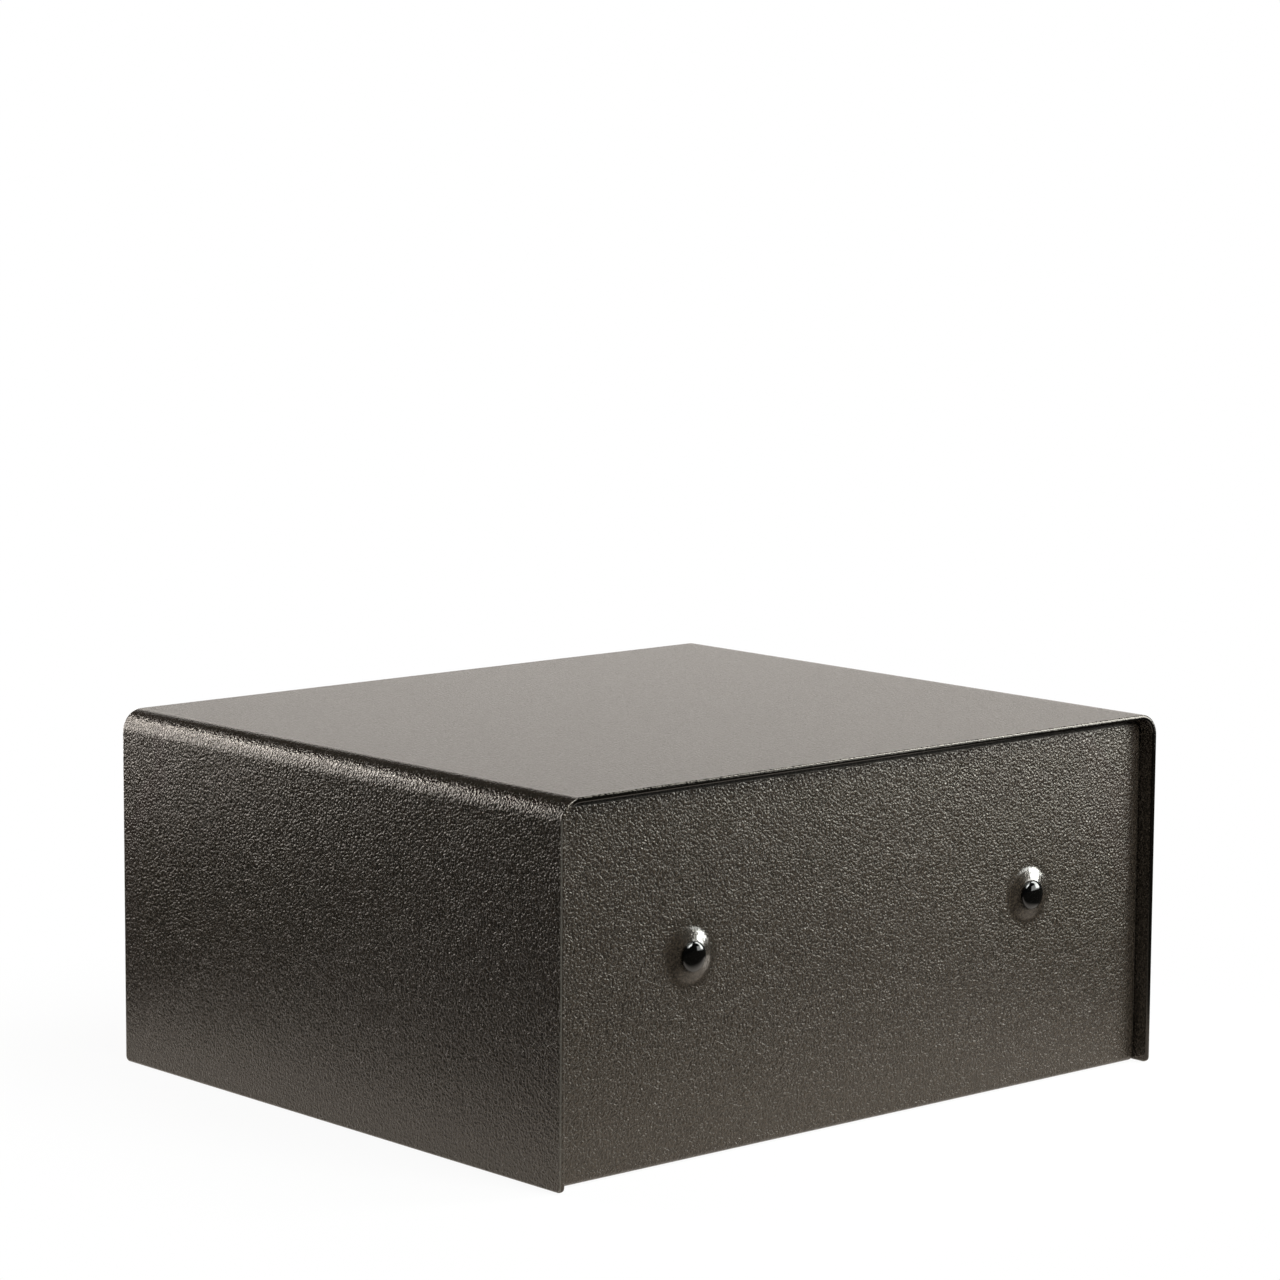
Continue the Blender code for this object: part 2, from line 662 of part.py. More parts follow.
def make_flap_bumpers():
    height = FRONT_Y - SEAT_GAP - (FLAP_AXIS.y - CURL_IN_R) - SEAT_GAP
    shoulder = height - FLAP_BUMPER_DOME
    profile = []
    for step in range(FOLD_STEPS):
        angle = math.pi / 2 * step / FOLD_STEPS
        profile.append((FLAP_BUMPER_R * math.sin(angle), shoulder + FLAP_BUMPER_DOME * math.cos(angle)))
    profile += [(FLAP_BUMPER_R, shoulder), (FLAP_BUMPER_R, 0.0), (0.0, 0.0)]
    middle_z = (SLOT_Z + FLAP_BOTTOM) / 2
    made = []
    for side, name in ((-1, "left"), (1, "right")):
        x = FLAP_AXIS.x + side * (FLAP_HALF_W - FLAP_BUMPER_INSET)
        spot = (x, FRONT_Y - SEAT_GAP, middle_z)
        made.append(turned(f"flap_bumper_{name}", profile, (0, -1, 0), spot, RUBBER, steps=PIN_STEPS))
    return made


def make_baffle():
    front = DOOR_INNER_Y + SEAT_GAP
    fold_z = SLOT_TOP + BAFFLE_RISE
    end = Vector((front + BAFFLE_RUN, fold_z - BAFFLE_RUN * math.tan(BAFFLE_SLOPE)))
    corners = [(front, fold_z + BAFFLE_FLANGE), (front, fold_z), end]
    half = SLOT_W / 2 + BAFFLE_SIDE
    run = (SLOT_X - half, SLOT_X + half)
    bm = strip(rounded_path(corners, BAFFLE_FOLD_R), run, across="X")
    baffle = sheet("anti_fishing_baffle", bm, BAFFLE_T)
    # The teeth: what lies past a zigzag line along the lower edge is cut away
    count = round(2 * half / TOOTH_PITCH)
    bm = bmesh.new()
    line = []
    for step in range(2 * count + 1):
        tip = -TOOTH_DEPTH if step % 2 == 0 else TOOTH_BLUNT
        line.append(bm.verts.new((half * (step / count - 1), tip, 0.0)))
    line.append(bm.verts.new((half + CUT_PAST, -TOOTH_DEPTH, 0.0)))
    line.append(bm.verts.new((half + CUT_PAST, TOOTH_DEPTH, 0.0)))
    line.append(bm.verts.new((-half - CUT_PAST, TOOTH_DEPTH, 0.0)))
    line.append(bm.verts.new((-half - CUT_PAST, -TOOTH_DEPTH, 0.0)))
    face = bm.faces.new(line)
    made = bmesh.ops.extrude_face_region(bm, geom=[face])
    verts = [item for item in made["geom"] if isinstance(item, bmesh.types.BMVert)]
    bmesh.ops.translate(bm, vec=(0.0, 0.0, 2 * (BAFFLE_T + CUT_PAST)), verts=verts)
    bmesh.ops.translate(bm, vec=(0.0, 0.0, -(BAFFLE_T + CUT_PAST)), verts=bm.verts)
    bmesh.ops.recalc_face_normals(bm, faces=bm.faces)
    teeth = new_object("baffle_teeth", bm, None)
    teeth.rotation_euler = (-BAFFLE_SLOPE, 0.0, 0.0)
    teeth.location = (SLOT_X, end.x, end.y)
    boolean(baffle, teeth)
    return baffle


def make_lock_case():
    face = FRONT_Y - SEAT_GAP
    head = face - BARREL_HEAD_H
    bore = LOCK_PLUG_R + PIN_CLEARANCE
    # Heights run out of the door, from its front face
    top = FRONT_Y - head
    seat = SEAT_GAP
    end = FRONT_Y - BARREL_BACK
    profile = [
        (bore, top),
        (BARREL_HEAD_R - BARREL_CHAMFER, top),
        (BARREL_HEAD_R, top - BARREL_CHAMFER),
        (BARREL_HEAD_R, seat),
        (BARREL_R, seat),
        (BARREL_R, end),
        (bore, end),
    ]
    barrel = turned("lock_barrel", profile, (0, -1, 0), LOCK_AXIS, CHROME, closed=True)
    near = DOOR_INNER_Y + SEAT_GAP
    start = (LOCK_X, near, LOCK_Z)
    nut = rod("lock_nut", NUT_FLATS / math.sqrt(3), start, (LOCK_X, near + NUT_H, LOCK_Z), 6, ZINC)
    start = (LOCK_X, near - CUT_PAST, LOCK_Z)
    end = (LOCK_X, near + NUT_H + CUT_PAST, LOCK_Z)
    boolean(nut, rod("nut_bore", BARREL_R + PIN_CLEARANCE, start, end))
    return [barrel, nut]


def cam_outline():
    """The cam, pointing down from the lock's axis, with its square hole."""
    lean = math.asin((CAM_HUB_R - CAM_TIP_R) / (CAM_REACH - CAM_TIP_R))
    hub = arc((0.0, 0.0), CAM_HUB_R, -lean, math.pi + lean, BEND_STEPS * 2)
    tip = arc((0.0, CAM_TIP_R - CAM_REACH), CAM_TIP_R, math.pi + lean, 2 * math.pi - lean, BEND_STEPS)
    half = TAIL_SQUARE / 2 + PIN_CLEARANCE
    square = [(-half, -half), (-half, half), (half, half), (half, -half)]
    return [hub + tip, square]


def make_lock_core():
    top = BARREL_HEAD_H + SEAT_GAP - LOCK_PLUG_SINK
    end = FRONT_Y - BARREL_BACK
    profile = [(0.0, top), (LOCK_PLUG_R, top), (LOCK_PLUG_R, end), (0.0, end)]
    plug = turned("lock_plug", profile, (0, -1, 0), LOCK_AXIS, CHROME)
    half = TAIL_SQUARE / 2
    tail_back = CAM_BACK + TAIL_PROUD
    low = (LOCK_X - half, BARREL_BACK - TAIL_SQUARE, LOCK_Z - half)
    boolean(plug, box("lock_tail", low, (LOCK_X + half, tail_back, LOCK_Z + half)), "UNION")
    face = FRONT_Y - top
    low = (LOCK_X - KEYWAY_W / 2, face - CUT_PAST, LOCK_Z - KEYWAY_H / 2)
    high = (LOCK_X + KEYWAY_W / 2, face + KEYWAY_DEPTH, LOCK_Z + KEYWAY_H / 2)
    boolean(plug, box("keyway", low, high))
    start = (LOCK_X, tail_back - SCREW_LENGTH - SEAT_GAP, LOCK_Z)
    end = (LOCK_X, tail_back + CUT_PAST, LOCK_Z)
    boolean(plug, rod("screw_hole", SCREW_R + PIN_CLEARANCE, start, end, PIN_STEPS))
    spot = (LOCK_X, CAM_FRONT + CAM_T / 2, LOCK_Z)
    cam = flat_outline("lock_cam", cam_outline(), CAM_T, spot, ZINC)
    profile = [
        (0.0, SCREW_HEAD_H),
        (SCREW_HEAD_R - HEAD_CHAMFER, SCREW_HEAD_H),
        (SCREW_HEAD_R, SCREW_HEAD_H - HEAD_CHAMFER),
        (SCREW_HEAD_R, 0.0),
        (SCREW_R, 0.0),
        (SCREW_R, -SCREW_LENGTH),
        (0.0, -SCREW_LENGTH),
    ]
    spot = (LOCK_X, tail_back + SEAT_GAP, LOCK_Z)
    screw = turned("cam_screw", profile, (0, 1, 0), spot, ZINC, steps=PIN_STEPS)
    return [plug, cam, screw]


def axis_empty(name, place, carried):
    """An empty on a joint's axis, which carries the pieces that move about it."""
    empty = bpy.data.objects.new(name, None)
    empty.empty_display_size = DOOR_DEPTH
    empty.location = place
    PARTS.objects.link(empty)
    for obj in carried:
        obj.parent = empty
        obj.matrix_parent_inverse = Matrix.Translation(place).inverted()
    return empty


make_body_wrap()
make_rear_panel()
make_floor_pan()
make_front_frame()
make_door_jamb()
make_door_bumpers()
make_hinge_pins()

on_door = [make_door_panel(), make_baffle()]
on_door += make_flap_hinge()
on_door += make_flap_bumpers()
on_door += make_lock_case()
flap_turn = axis_empty("flap_axis", FLAP_AXIS, [make_deposit_flap()])
lock_turn = axis_empty("lock_axis", LOCK_AXIS, make_lock_core())
axis_empty("door_axis", PIVOT, on_door + [flap_turn, lock_turn])
bpy.context.view_layer.update()
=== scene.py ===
import json
import math

import bmesh
import bpy
from mathutils import Matrix, Vector


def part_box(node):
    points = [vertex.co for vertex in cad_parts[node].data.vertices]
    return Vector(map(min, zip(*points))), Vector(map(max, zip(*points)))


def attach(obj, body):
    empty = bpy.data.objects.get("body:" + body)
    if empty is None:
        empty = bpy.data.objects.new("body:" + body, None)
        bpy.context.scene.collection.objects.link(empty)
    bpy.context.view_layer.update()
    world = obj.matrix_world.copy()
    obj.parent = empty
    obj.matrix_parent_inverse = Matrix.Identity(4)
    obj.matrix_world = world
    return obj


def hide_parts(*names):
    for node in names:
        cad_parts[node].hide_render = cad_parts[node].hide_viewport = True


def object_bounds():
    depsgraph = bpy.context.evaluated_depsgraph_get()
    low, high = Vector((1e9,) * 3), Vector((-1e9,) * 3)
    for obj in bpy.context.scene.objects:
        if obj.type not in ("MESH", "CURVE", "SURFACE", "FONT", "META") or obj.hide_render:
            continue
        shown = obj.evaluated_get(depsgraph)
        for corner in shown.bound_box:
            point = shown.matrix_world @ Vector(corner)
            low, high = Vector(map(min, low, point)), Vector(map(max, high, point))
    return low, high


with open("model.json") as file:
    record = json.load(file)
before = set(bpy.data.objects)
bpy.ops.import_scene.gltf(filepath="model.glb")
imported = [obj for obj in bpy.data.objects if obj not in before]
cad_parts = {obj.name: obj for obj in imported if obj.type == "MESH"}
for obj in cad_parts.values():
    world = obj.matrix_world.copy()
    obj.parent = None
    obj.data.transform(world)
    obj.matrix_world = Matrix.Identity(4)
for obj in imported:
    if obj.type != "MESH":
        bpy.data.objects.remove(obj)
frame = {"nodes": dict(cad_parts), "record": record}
cadLow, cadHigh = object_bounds()
nodes = frame["nodes"]


# camera, set where the photograph was taken from
photoCamera = {
    "place": (1.59322, 1.78129, 0.57108),
    "right": (-0.74618, 0.66571, 0.00637),
    "up": (-0.08658, -0.10652, 0.99053),
    "forward": (-0.66009, -0.73857, -0.13712),
    "lens": 121.70,
    "sensor": 36.0,
    "farthest": 100.0,
}


def placeCamera(s):
    data = bpy.data.cameras.new("photoCamera")
    data.sensor_fit = "HORIZONTAL"
    data.sensor_width = s["sensor"]
    data.lens = s["lens"]
    data.clip_end = s["farthest"]
    cam = bpy.data.objects.new("photoCamera", data)
    bpy.context.scene.collection.objects.link(cam)
    back = -Vector(s["forward"])
    turn = Matrix((s["right"], s["up"], back)).transposed().to_4x4()
    cam.matrix_world = Matrix.Translation(s["place"]) @ turn
    bpy.context.scene.camera = cam


placeCamera(photoCamera)
bpy.context.scene.view_settings.view_transform = "Standard"
print("camera placed")


# shader wiring: sums on sockets are written as sums
class Wire:
    def __init__(self, finish, socket):
        self.finish = finish
        self.socket = socket

    def sum(self, operation, first, second):
        return self.finish.node("Math", {"operation": operation}, {0: first, 1: second})

    def __add__(self, other): return self.sum("ADD", self, other)
    def __radd__(self, other): return self.sum("ADD", other, self)
    def __sub__(self, other): return self.sum("SUBTRACT", self, other)
    def __rsub__(self, other): return self.sum("SUBTRACT", other, self)
    def __mul__(self, other): return self.sum("MULTIPLY", self, other)
    def __rmul__(self, other): return self.sum("MULTIPLY", other, self)
    def __truediv__(self, other): return self.sum("DIVIDE", self, other)
    def __pow__(self, other): return self.sum("POWER", self, other)


# the Mix node's colour sockets come after those for numbers and vectors
colourMix = {"share": 0, "first": 6, "second": 7, "mixed": 2}


class Finish:
    def __init__(self, name, world=None):
        if world:
            self.tree = world.node_tree
        else:
            self.material = bpy.data.materials.new(name)
            self.material.use_nodes = True
            self.tree = self.material.node_tree
        self.tree.nodes.clear()

    def plug(self, socket, value):
        if isinstance(value, Wire):
            self.tree.links.new(value.socket, socket)
        elif isinstance(value, tuple) and len(value) == 3 and socket.type == "RGBA":
            socket.default_value = (*value, 1.0)
        else:
            socket.default_value = value

    def node(self, kind, settings=None, sockets=None, out=0):
        made = self.tree.nodes.new("ShaderNode" + kind)
        for key, value in (settings or {}).items():
            setattr(made, key, value)
        for key, value in (sockets or {}).items():
            self.plug(made.inputs[key], value)
        return Wire(self, made.outputs[out]) if made.outputs else None

    def mixColour(self, share, first, second):
        s = colourMix
        sockets = {s["share"]: share, s["first"]: first, s["second"]: second}
        return self.node("Mix", {"data_type": "RGBA"}, sockets, s["mixed"])

    def between(self, value, low, high, start=0.0, end=1.0):
        settings = {"interpolation_type": "SMOOTHSTEP"}
        return self.node("MapRange", settings, {0: value, 1: low, 2: high, 3: start, 4: end})

    def noise(self, place, scale, detail=2.0, roughness=0.5, distortion=0.0):
        sockets = {"Vector": place, "Scale": scale, "Detail": detail, "Roughness": roughness}
        sockets["Distortion"] = distortion
        return self.node("TexNoise", {}, sockets)

    def larger(self, first, second):
        return self.node("Math", {"operation": "MAXIMUM"}, {0: first, 1: second})

    def vector(self, operation, first, second=(0.0, 0.0, 0.0), out="Value"):
        return self.node("VectorMath", {"operation": operation}, {0: first, 1: second}, out)

    def here(self):
        return self.node("TexCoord", {}, {}, out="Object")

    def parts(self, place):
        apart = self.node("SeparateXYZ", {}, {0: place}).socket.node
        return [Wire(self, socket) for socket in apart.outputs]

    def surface(self, sockets):
        self.node("OutputMaterial", {}, {"Surface": self.node("BsdfPrincipled", {}, sockets)})
        return self.material


print("shader wiring ready")


# dark bronze wrinkle coat, on every folded sheet
bronzeCoat = {
    "cloud": {"scale": 9.0, "detail": 3.0, "roughness": 0.55},
    "grain": {"scale": 740.0, "detail": 1.0, "roughness": 0.45, "distortion": 0.5},
    "fineGrain": {"scale": 2100.0, "detail": 1.0, "roughness": 0.5},
    "height": 0.00026,
    "heightSpan": (0.25, 0.75),
    "heightShare": 0.85,
    "dark": (0.0080, 0.0062, 0.0046),
    "light": (0.0320, 0.0250, 0.0189),
    "toneSpan": (0.30, 0.72),
    "toneShare": 0.75,
    "sheen": (1.0, 0.91, 0.81),
    "ior": 1.55,
    "roughness": (0.23, 0.14),
    "roughSpan": (0.38, 0.58),
    "roughShare": 0.8,
}
# on a cut edge the coat flows out thin and nearly smooth, and is painted near-black as shade, except down the
# near side;
# its outer line carries a painted pale highlight, solid down the side and at the foot, dotted along the top
cutEdge = {
    "flow": 0.10,
    "flowRough": 0.08,
    "edgeShadeTone": (0.0012, 0.0010, 0.0008),
    "plainSide": (0.2120, 0.2150),
    "highlightTone": (0.12, 0.110, 0.096),
    "highlightSide": (0.2193, 0.2198),
    "highlightTop": (0.1991, 0.1997),
    "highlightFoot": (0.0012, 0.0004),
    "highlightDots": (0.42, 0.56),
}
# the grain is drawn flat at the start of the wrap's bends, and the flat top is duller
wrapBend = {
    "calm": 0.7,
    "calmSide": (0.2045, 0.2085),
    "calmTop": (0.1965, 0.1985),
    "topRough": 0.29,
    "topSide": (0.2103, 0.2076),
    "topFrom": (0.1985, 0.1995),
}
# the press smoothed and glazed the panel round its bosses,
# and in the seam under the wrap the panel is dull and painted dark as shade
pressedPanel = {
    "bossSmooth": (0.0125, 0.0215),
    "smoothLeast": 0.72,
    "smoothSide": (0.75, 0.0, -0.66),
    "smoothTurn": (-0.35, 0.25),
    "coatTurn": (0.10, -0.55),
    "coatDots": (0.34, 0.60),
    "coatLeast": 0.25,
    "coatRoughness": 0.14,
    "coatIor": 2.2,
    "seamTop": (0.1931, 0.1943),
    "seamSide": (-0.2146, -0.2160),
    "seamShadeTone": (0.002, 0.0016, 0.0013),
    "seamRough": 0.80,
}
bossPlaces = [(0.126, 0.1075), (-0.126, 0.1075)]
bossFace = 0.1795


def makeBronze(name, s):
    f = Finish(name)
    here = f.here()
    x, _, z = f.parts(here)
    cloud = f.noise(here, **s["cloud"])
    grain = f.noise(here, **s["grain"])
    fine = f.noise(here, **s["fineGrain"])
    height = f.between(grain, *s["heightSpan"]) * s["heightShare"] + fine * (1.0 - s["heightShare"])
    tone = f.between(grain, *s["toneSpan"]) * s["toneShare"] + cloud * (1.0 - s["toneShare"])
    colour = f.mixColour(tone, s["dark"], s["light"])
    mixed = grain * s["roughShare"] + fine * (1.0 - s["roughShare"])
    rough = f.between(mixed, *s["roughSpan"], *s["roughness"])
    sockets = {"IOR": s["ior"], "Specular Tint": s["sheen"]}
    if "flow" in s:
        grained = f.between(x, *s["plainSide"])
        height = height * (grained * (1.0 - s["flow"]) + s["flow"])
        # the cut edge's near-black colour is painted shade
        colour = f.mixColour(grained, s["edgeShadeTone"], colour)
        rough = s["flowRough"] + grained * (rough - s["flowRough"])
        # a painted pale highlight along the edge's outer line: dotted along the top, solid down the side and
        # at the foot
        topHighlight = f.between(z, *s["highlightTop"]) * f.between(grain, *s["highlightDots"])
        paintedHighlight = f.larger(f.larger(f.between(x, *s["highlightSide"]), topHighlight), f.between(z, *s["highlightFoot"]))
        colour = f.mixColour(paintedHighlight, colour, s["highlightTone"])
    if "calm" in s:
        out = f.node("Math", {"operation": "ABSOLUTE"}, {0: x})
        height = height * (1.0 - f.between(out, *s["calmSide"]) * f.between(z, *s["calmTop"]) * s["calm"])
        top = f.between(out, *s["topSide"]) * f.between(z, *s["topFrom"])
        rough = rough + top * (s["topRough"] - rough)
    if "seamShadeTone" in s:
        mask, glaze = 1.0, 0.0
        for bossX, bossZ in bossPlaces:
            offset = f.vector("SUBTRACT", here, (bossX, bossFace, bossZ), "Vector")
            away = f.vector("LENGTH", offset)
            turned = f.vector("DOT_PRODUCT", offset, s["smoothSide"]) / away
            near = f.between(away, *s["bossSmooth"], 1.0, 0.0)
            mask = (1.0 - f.between(turned, *s["smoothTurn"], s["smoothLeast"], 1.0) * near) * mask
            glaze = f.between(turned, *s["coatTurn"]) * near + glaze
        height = height * mask
        sockets["Coat Weight"] = glaze * f.between(grain, *s["coatDots"], s["coatLeast"], 1.0)
        sockets["Coat Roughness"] = s["coatRoughness"]
        sockets["Coat IOR"] = s["coatIor"]
        # painted shade in the seam under the wrap and down its side: darker colour, and rougher
        paintedSeamShade = f.larger(f.between(z, *s["seamTop"]), f.between(x, *s["seamSide"]))
        colour = f.mixColour(paintedSeamShade, colour, s["seamShadeTone"])
        rough = rough + paintedSeamShade * (s["seamRough"] - rough)
    bump = f.node("Bump", {}, {"Strength": 1.0, "Distance": s["height"], "Height": height})
    sockets.update({"Base Color": colour, "Roughness": rough, "Normal": bump})
    return f.surface(sockets)


# the other finishes, each with its own fine detail
plainDetail = {
    "fine": {"detail": 3.0, "roughness": 0.6},
    "broad": {"detail": 2.0, "roughness": 0.5},
    "toneShare": 0.5,
    "toneSpan": (0.25, 0.75),
    "roughShare": 0.6,
    "roughSpan": (0.3, 0.7),
    "ior": 1.5,
}


def makePlain(name, s):
    f = Finish(name)
    here = f.here()
    fine = f.noise(here, s["grain"], **s["fine"])
    broad = f.noise(here, s["cloud"], **s["broad"])
    tone = f.between(fine * s["toneShare"] + broad * (1.0 - s["toneShare"]), *s["toneSpan"])
    mixed = broad * s["roughShare"] + fine * (1.0 - s["roughShare"])
    bump = f.node("Bump", {}, {"Strength": 1.0, "Distance": s["height"], "Height": fine})
    return f.surface({
        "Base Color": f.mixColour(tone, s["dark"], s["light"]),
        "Roughness": f.between(mixed, *s["roughSpan"], *s["roughness"]),
        "Normal": bump,
        "Metallic": s["metallic"],
        "IOR": s["ior"],
    })


finishes = {
    "glossPlug": {"grain": 900.0, "cloud": 60.0, "height": 0.000002, "dark": (0.0004, 0.0004, 0.0004),
                  "light": (0.0009, 0.0009, 0.0008), "roughness": (0.04, 0.08), "metallic": 0.0,
                  "ior": 1.62},
    "blackRubber": {"grain": 2200.0, "cloud": 90.0, "height": 0.00003, "dark": (0.010, 0.010, 0.010),
                    "light": (0.022, 0.022, 0.021), "roughness": (0.55, 0.75), "metallic": 0.0},
    "zincPlate": {"grain": 1500.0, "cloud": 120.0, "height": 0.000012, "dark": (0.42, 0.42, 0.41),
                  "light": (0.60, 0.595, 0.57), "roughness": (0.26, 0.44), "metallic": 1.0},
    "nickelPlate": {"grain": 1800.0, "cloud": 150.0, "height": 0.000006, "dark": (0.54, 0.525, 0.50),
                    "light": (0.66, 0.645, 0.62), "roughness": (0.12, 0.24), "metallic": 1.0},
    "whiteNylon": {"grain": 1600.0, "cloud": 140.0, "height": 0.00001, "dark": (0.62, 0.61, 0.57),
                   "light": (0.74, 0.73, 0.69), "roughness": (0.40, 0.55), "metallic": 0.0},
}
coat = makeBronze("bronzeCoat", bronzeCoat)
coatEdge = makeBronze("bronzeCoatEdge", {**bronzeCoat, **cutEdge})
coatWrap = makeBronze("bronzeCoatWrap", {**bronzeCoat, **wrapBend})
coatBosses = makeBronze("bronzeCoatBosses", {**bronzeCoat, **pressedPanel})
plain = {name: makePlain(name, {**plainDetail, **s}) for name, s in finishes.items()}
print("coats made, and plain finishes", len(plain))


# mesh helpers
def addPiece(name, bm, material, body, replaces=(), smooth=35.0):
    mesh = bpy.data.meshes.new(name)
    bm.to_mesh(mesh)
    bm.free()
    piece = bpy.data.objects.new(name, mesh)
    bpy.context.scene.collection.objects.link(piece)
    mesh.materials.append(material)
    mesh.shade_smooth()
    mesh.set_sharp_from_angle(angle=math.radians(smooth))
    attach(piece, body)
    for node in replaces:
        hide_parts(node)
    return piece


edgeRound = {"angle": 40.0, "weight": 80}


def bevelled(piece, width, segments):
    bevel = piece.modifiers.new("edgeRound", "BEVEL")
    bevel.width = width
    bevel.segments = segments
    bevel.limit_method = "ANGLE"
    bevel.angle_limit = math.radians(edgeRound["angle"])
    bevel.harden_normals = False
    bevel.miter_outer = "MITER_ARC"
    normals = piece.modifiers.new("faceNormals", "WEIGHTED_NORMAL")
    normals.keep_sharp = True
    normals.weight = edgeRound["weight"]
    return piece


def thickened(piece, thickness):
    wall = piece.modifiers.new("sheet", "SOLIDIFY")
    wall.thickness = thickness
    wall.offset = -1.0
    wall.use_even_offset = True
    return piece


def roundedPath(corners, radius, steps):
    corners = [Vector(corner) for corner in corners]
    path = [corners[0]]
    for before, corner, after in zip(corners, corners[1:], corners[2:]):
        back = (before - corner).normalized()
        ahead = (after - corner).normalized()
        half = back.angle(ahead) / 2
        middle = corner + (back + ahead).normalized() * radius / math.sin(half)
        first = corner + back * radius / math.tan(half) - middle
        last = corner + ahead * radius / math.tan(half) - middle
        for step in range(steps + 1):
            path.append(middle + first.slerp(last, step / steps) * radius)
    path.append(corners[-1])
    return path


pointRadius = 1e-7


def turnedMesh(profile, steps, place, axis, closed=False, recess=None):
    bm = bmesh.new()
    rings = []
    for radius, height in profile:
        if radius < pointRadius:
            rings.append([bm.verts.new((0, 0, height))])
            continue
        ring = []
        for step in range(steps):
            angle = 2 * math.pi * step / steps
            ring.append(bm.verts.new((radius * math.cos(angle), radius * math.sin(angle), height)))
        rings.append(ring)
    pairs = list(zip(rings, rings[1:]))
    if closed:
        pairs.append((rings[-1], rings[0]))
    for upper, lower in pairs:
        for step in range(steps):
            after = (step + 1) % steps
            if len(upper) == 1:
                bm.faces.new((upper[0], lower[step], lower[after]))
            elif len(lower) == 1:
                bm.faces.new((upper[step], lower[0], upper[after]))
            else:
                bm.faces.new((upper[step], lower[step], lower[after], upper[after]))
    if recess:
        crossRecess(bm, rings[0], profile[0][1], recess)
    turn = Vector((0, 0, 1)).rotation_difference(Vector(axis)).to_matrix().to_4x4()
    bmesh.ops.transform(bm, matrix=Matrix.Translation(place) @ turn, verts=bm.verts)
    bmesh.ops.recalc_face_normals(bm, faces=bm.faces)
    return bm


def crossRecess(bm, ring, top, s):
    outline = []
    for quarter in range(4):
        turn = Matrix.Rotation(quarter * math.pi / 2, 3, "Z")
        for x, y in ((s["arm"], -s["half"]), (s["arm"], s["half"]), (s["half"], s["half"])):
            outline.append(turn @ Vector((x, y, 0)))
    upper = [bm.verts.new((spot.x, spot.y, top)) for spot in outline]
    lower = [bm.verts.new((spot.x * s["taper"], spot.y * s["taper"], top - s["depth"])) for spot in outline]
    rim = [bm.edges.get((ring[step - 1], ring[step])) for step in range(len(ring))]
    for step in range(len(outline)):
        rim.append(bm.edges.new((upper[step - 1], upper[step])))
        bm.faces.new((upper[step - 1], lower[step - 1], lower[step], upper[step]))
    bm.faces.new(lower)
    bmesh.ops.triangle_fill(bm, use_beauty=True, edges=rim, normal=(0, 0, 1))


def joinedMesh(parts):
    bm = bmesh.new()
    for part in parts:
        mesh = bpy.data.meshes.new("part")
        part.to_mesh(mesh)
        part.free()
        bm.from_mesh(mesh)
        bpy.data.meshes.remove(mesh)
    return bm


cadFaces = {"weld": 0.000005, "flat": 0.5, "smooth": 50.0}


def softened(node, name, material, body, width, segments):
    bm = bmesh.new()
    bm.from_mesh(nodes[node].data)
    bmesh.ops.remove_doubles(bm, verts=bm.verts, dist=cadFaces["weld"])
    bmesh.ops.dissolve_limit(bm, angle_limit=math.radians(cadFaces["flat"]), verts=bm.verts, edges=bm.edges)
    piece = addPiece(name, bm, material, body, [node], cadFaces["smooth"])
    return bevelled(piece, width, segments)


# folded wrap over the sides and the top, its cut edges rounded by the coat
wrapShell = {"bendSteps": 18, "bend": 0.0125, "sheet": 0.003, "foot": 0.003, "footSteps": 6, "edge": 0.0010,
             "edgeSteps": 3}


def makeWrap(s):
    low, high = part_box("body_wrap")
    corners = [(low.x, low.z), (low.x, high.z), (high.x, high.z), (high.x, low.z)]
    bm = bmesh.new()
    rows = []
    for x, z in roundedPath(corners, s["bend"], s["bendSteps"]):
        rows.append([bm.verts.new((x, y, z)) for y in (low.y, high.y)])
    for row, after in zip(rows, rows[1:]):
        bm.faces.new((row[0], after[0], after[1], row[1]))
    feet = [vert for vert in bm.verts if vert.co.z < s["foot"]]
    bmesh.ops.bevel(bm, geom=feet, offset=s["foot"], segments=s["footSteps"], profile=0.5, affect="VERTICES")
    piece = addPiece("wrapShell", bm, coatWrap, "case", ["body_wrap"])
    piece.data.materials.append(coatEdge)
    thickened(piece, s["sheet"]).modifiers["sheet"].material_offset_rim = 1
    bevelled(piece, s["edge"], s["edgeSteps"]).modifiers["edgeRound"].material = 1


makeWrap(wrapShell)
print("wrap folded")


# back panel, pressed with folded edges and two bosses
backPanel = {
    "fold": 0.003,
    "foldSteps": 6,
    "foldAngle": 1.0,
    "corner": 0.0092,
    "cornerSteps": 10,
    "sheet": 0.002,
    "bossFoot": 0.0164,
    "bossTop": 0.0076,
    "bossHeight": 0.002,
    "hole": 0.0062,
    "fillets": (0.36, 0.12),
    "ringSteps": 64,
    "slopeSteps": 16,
    "smooth": 50.0,
}


def slopeRise(share, fillets):
    foot, top = fillets
    if share < foot:
        rise = share * share / (2 * foot)
    elif share < 1 - top:
        rise = share - foot / 2
    else:
        rise = 1 - (foot + top) / 2 - (1 - share) ** 2 / (2 * top)
    return rise / (1 - (foot + top) / 2)


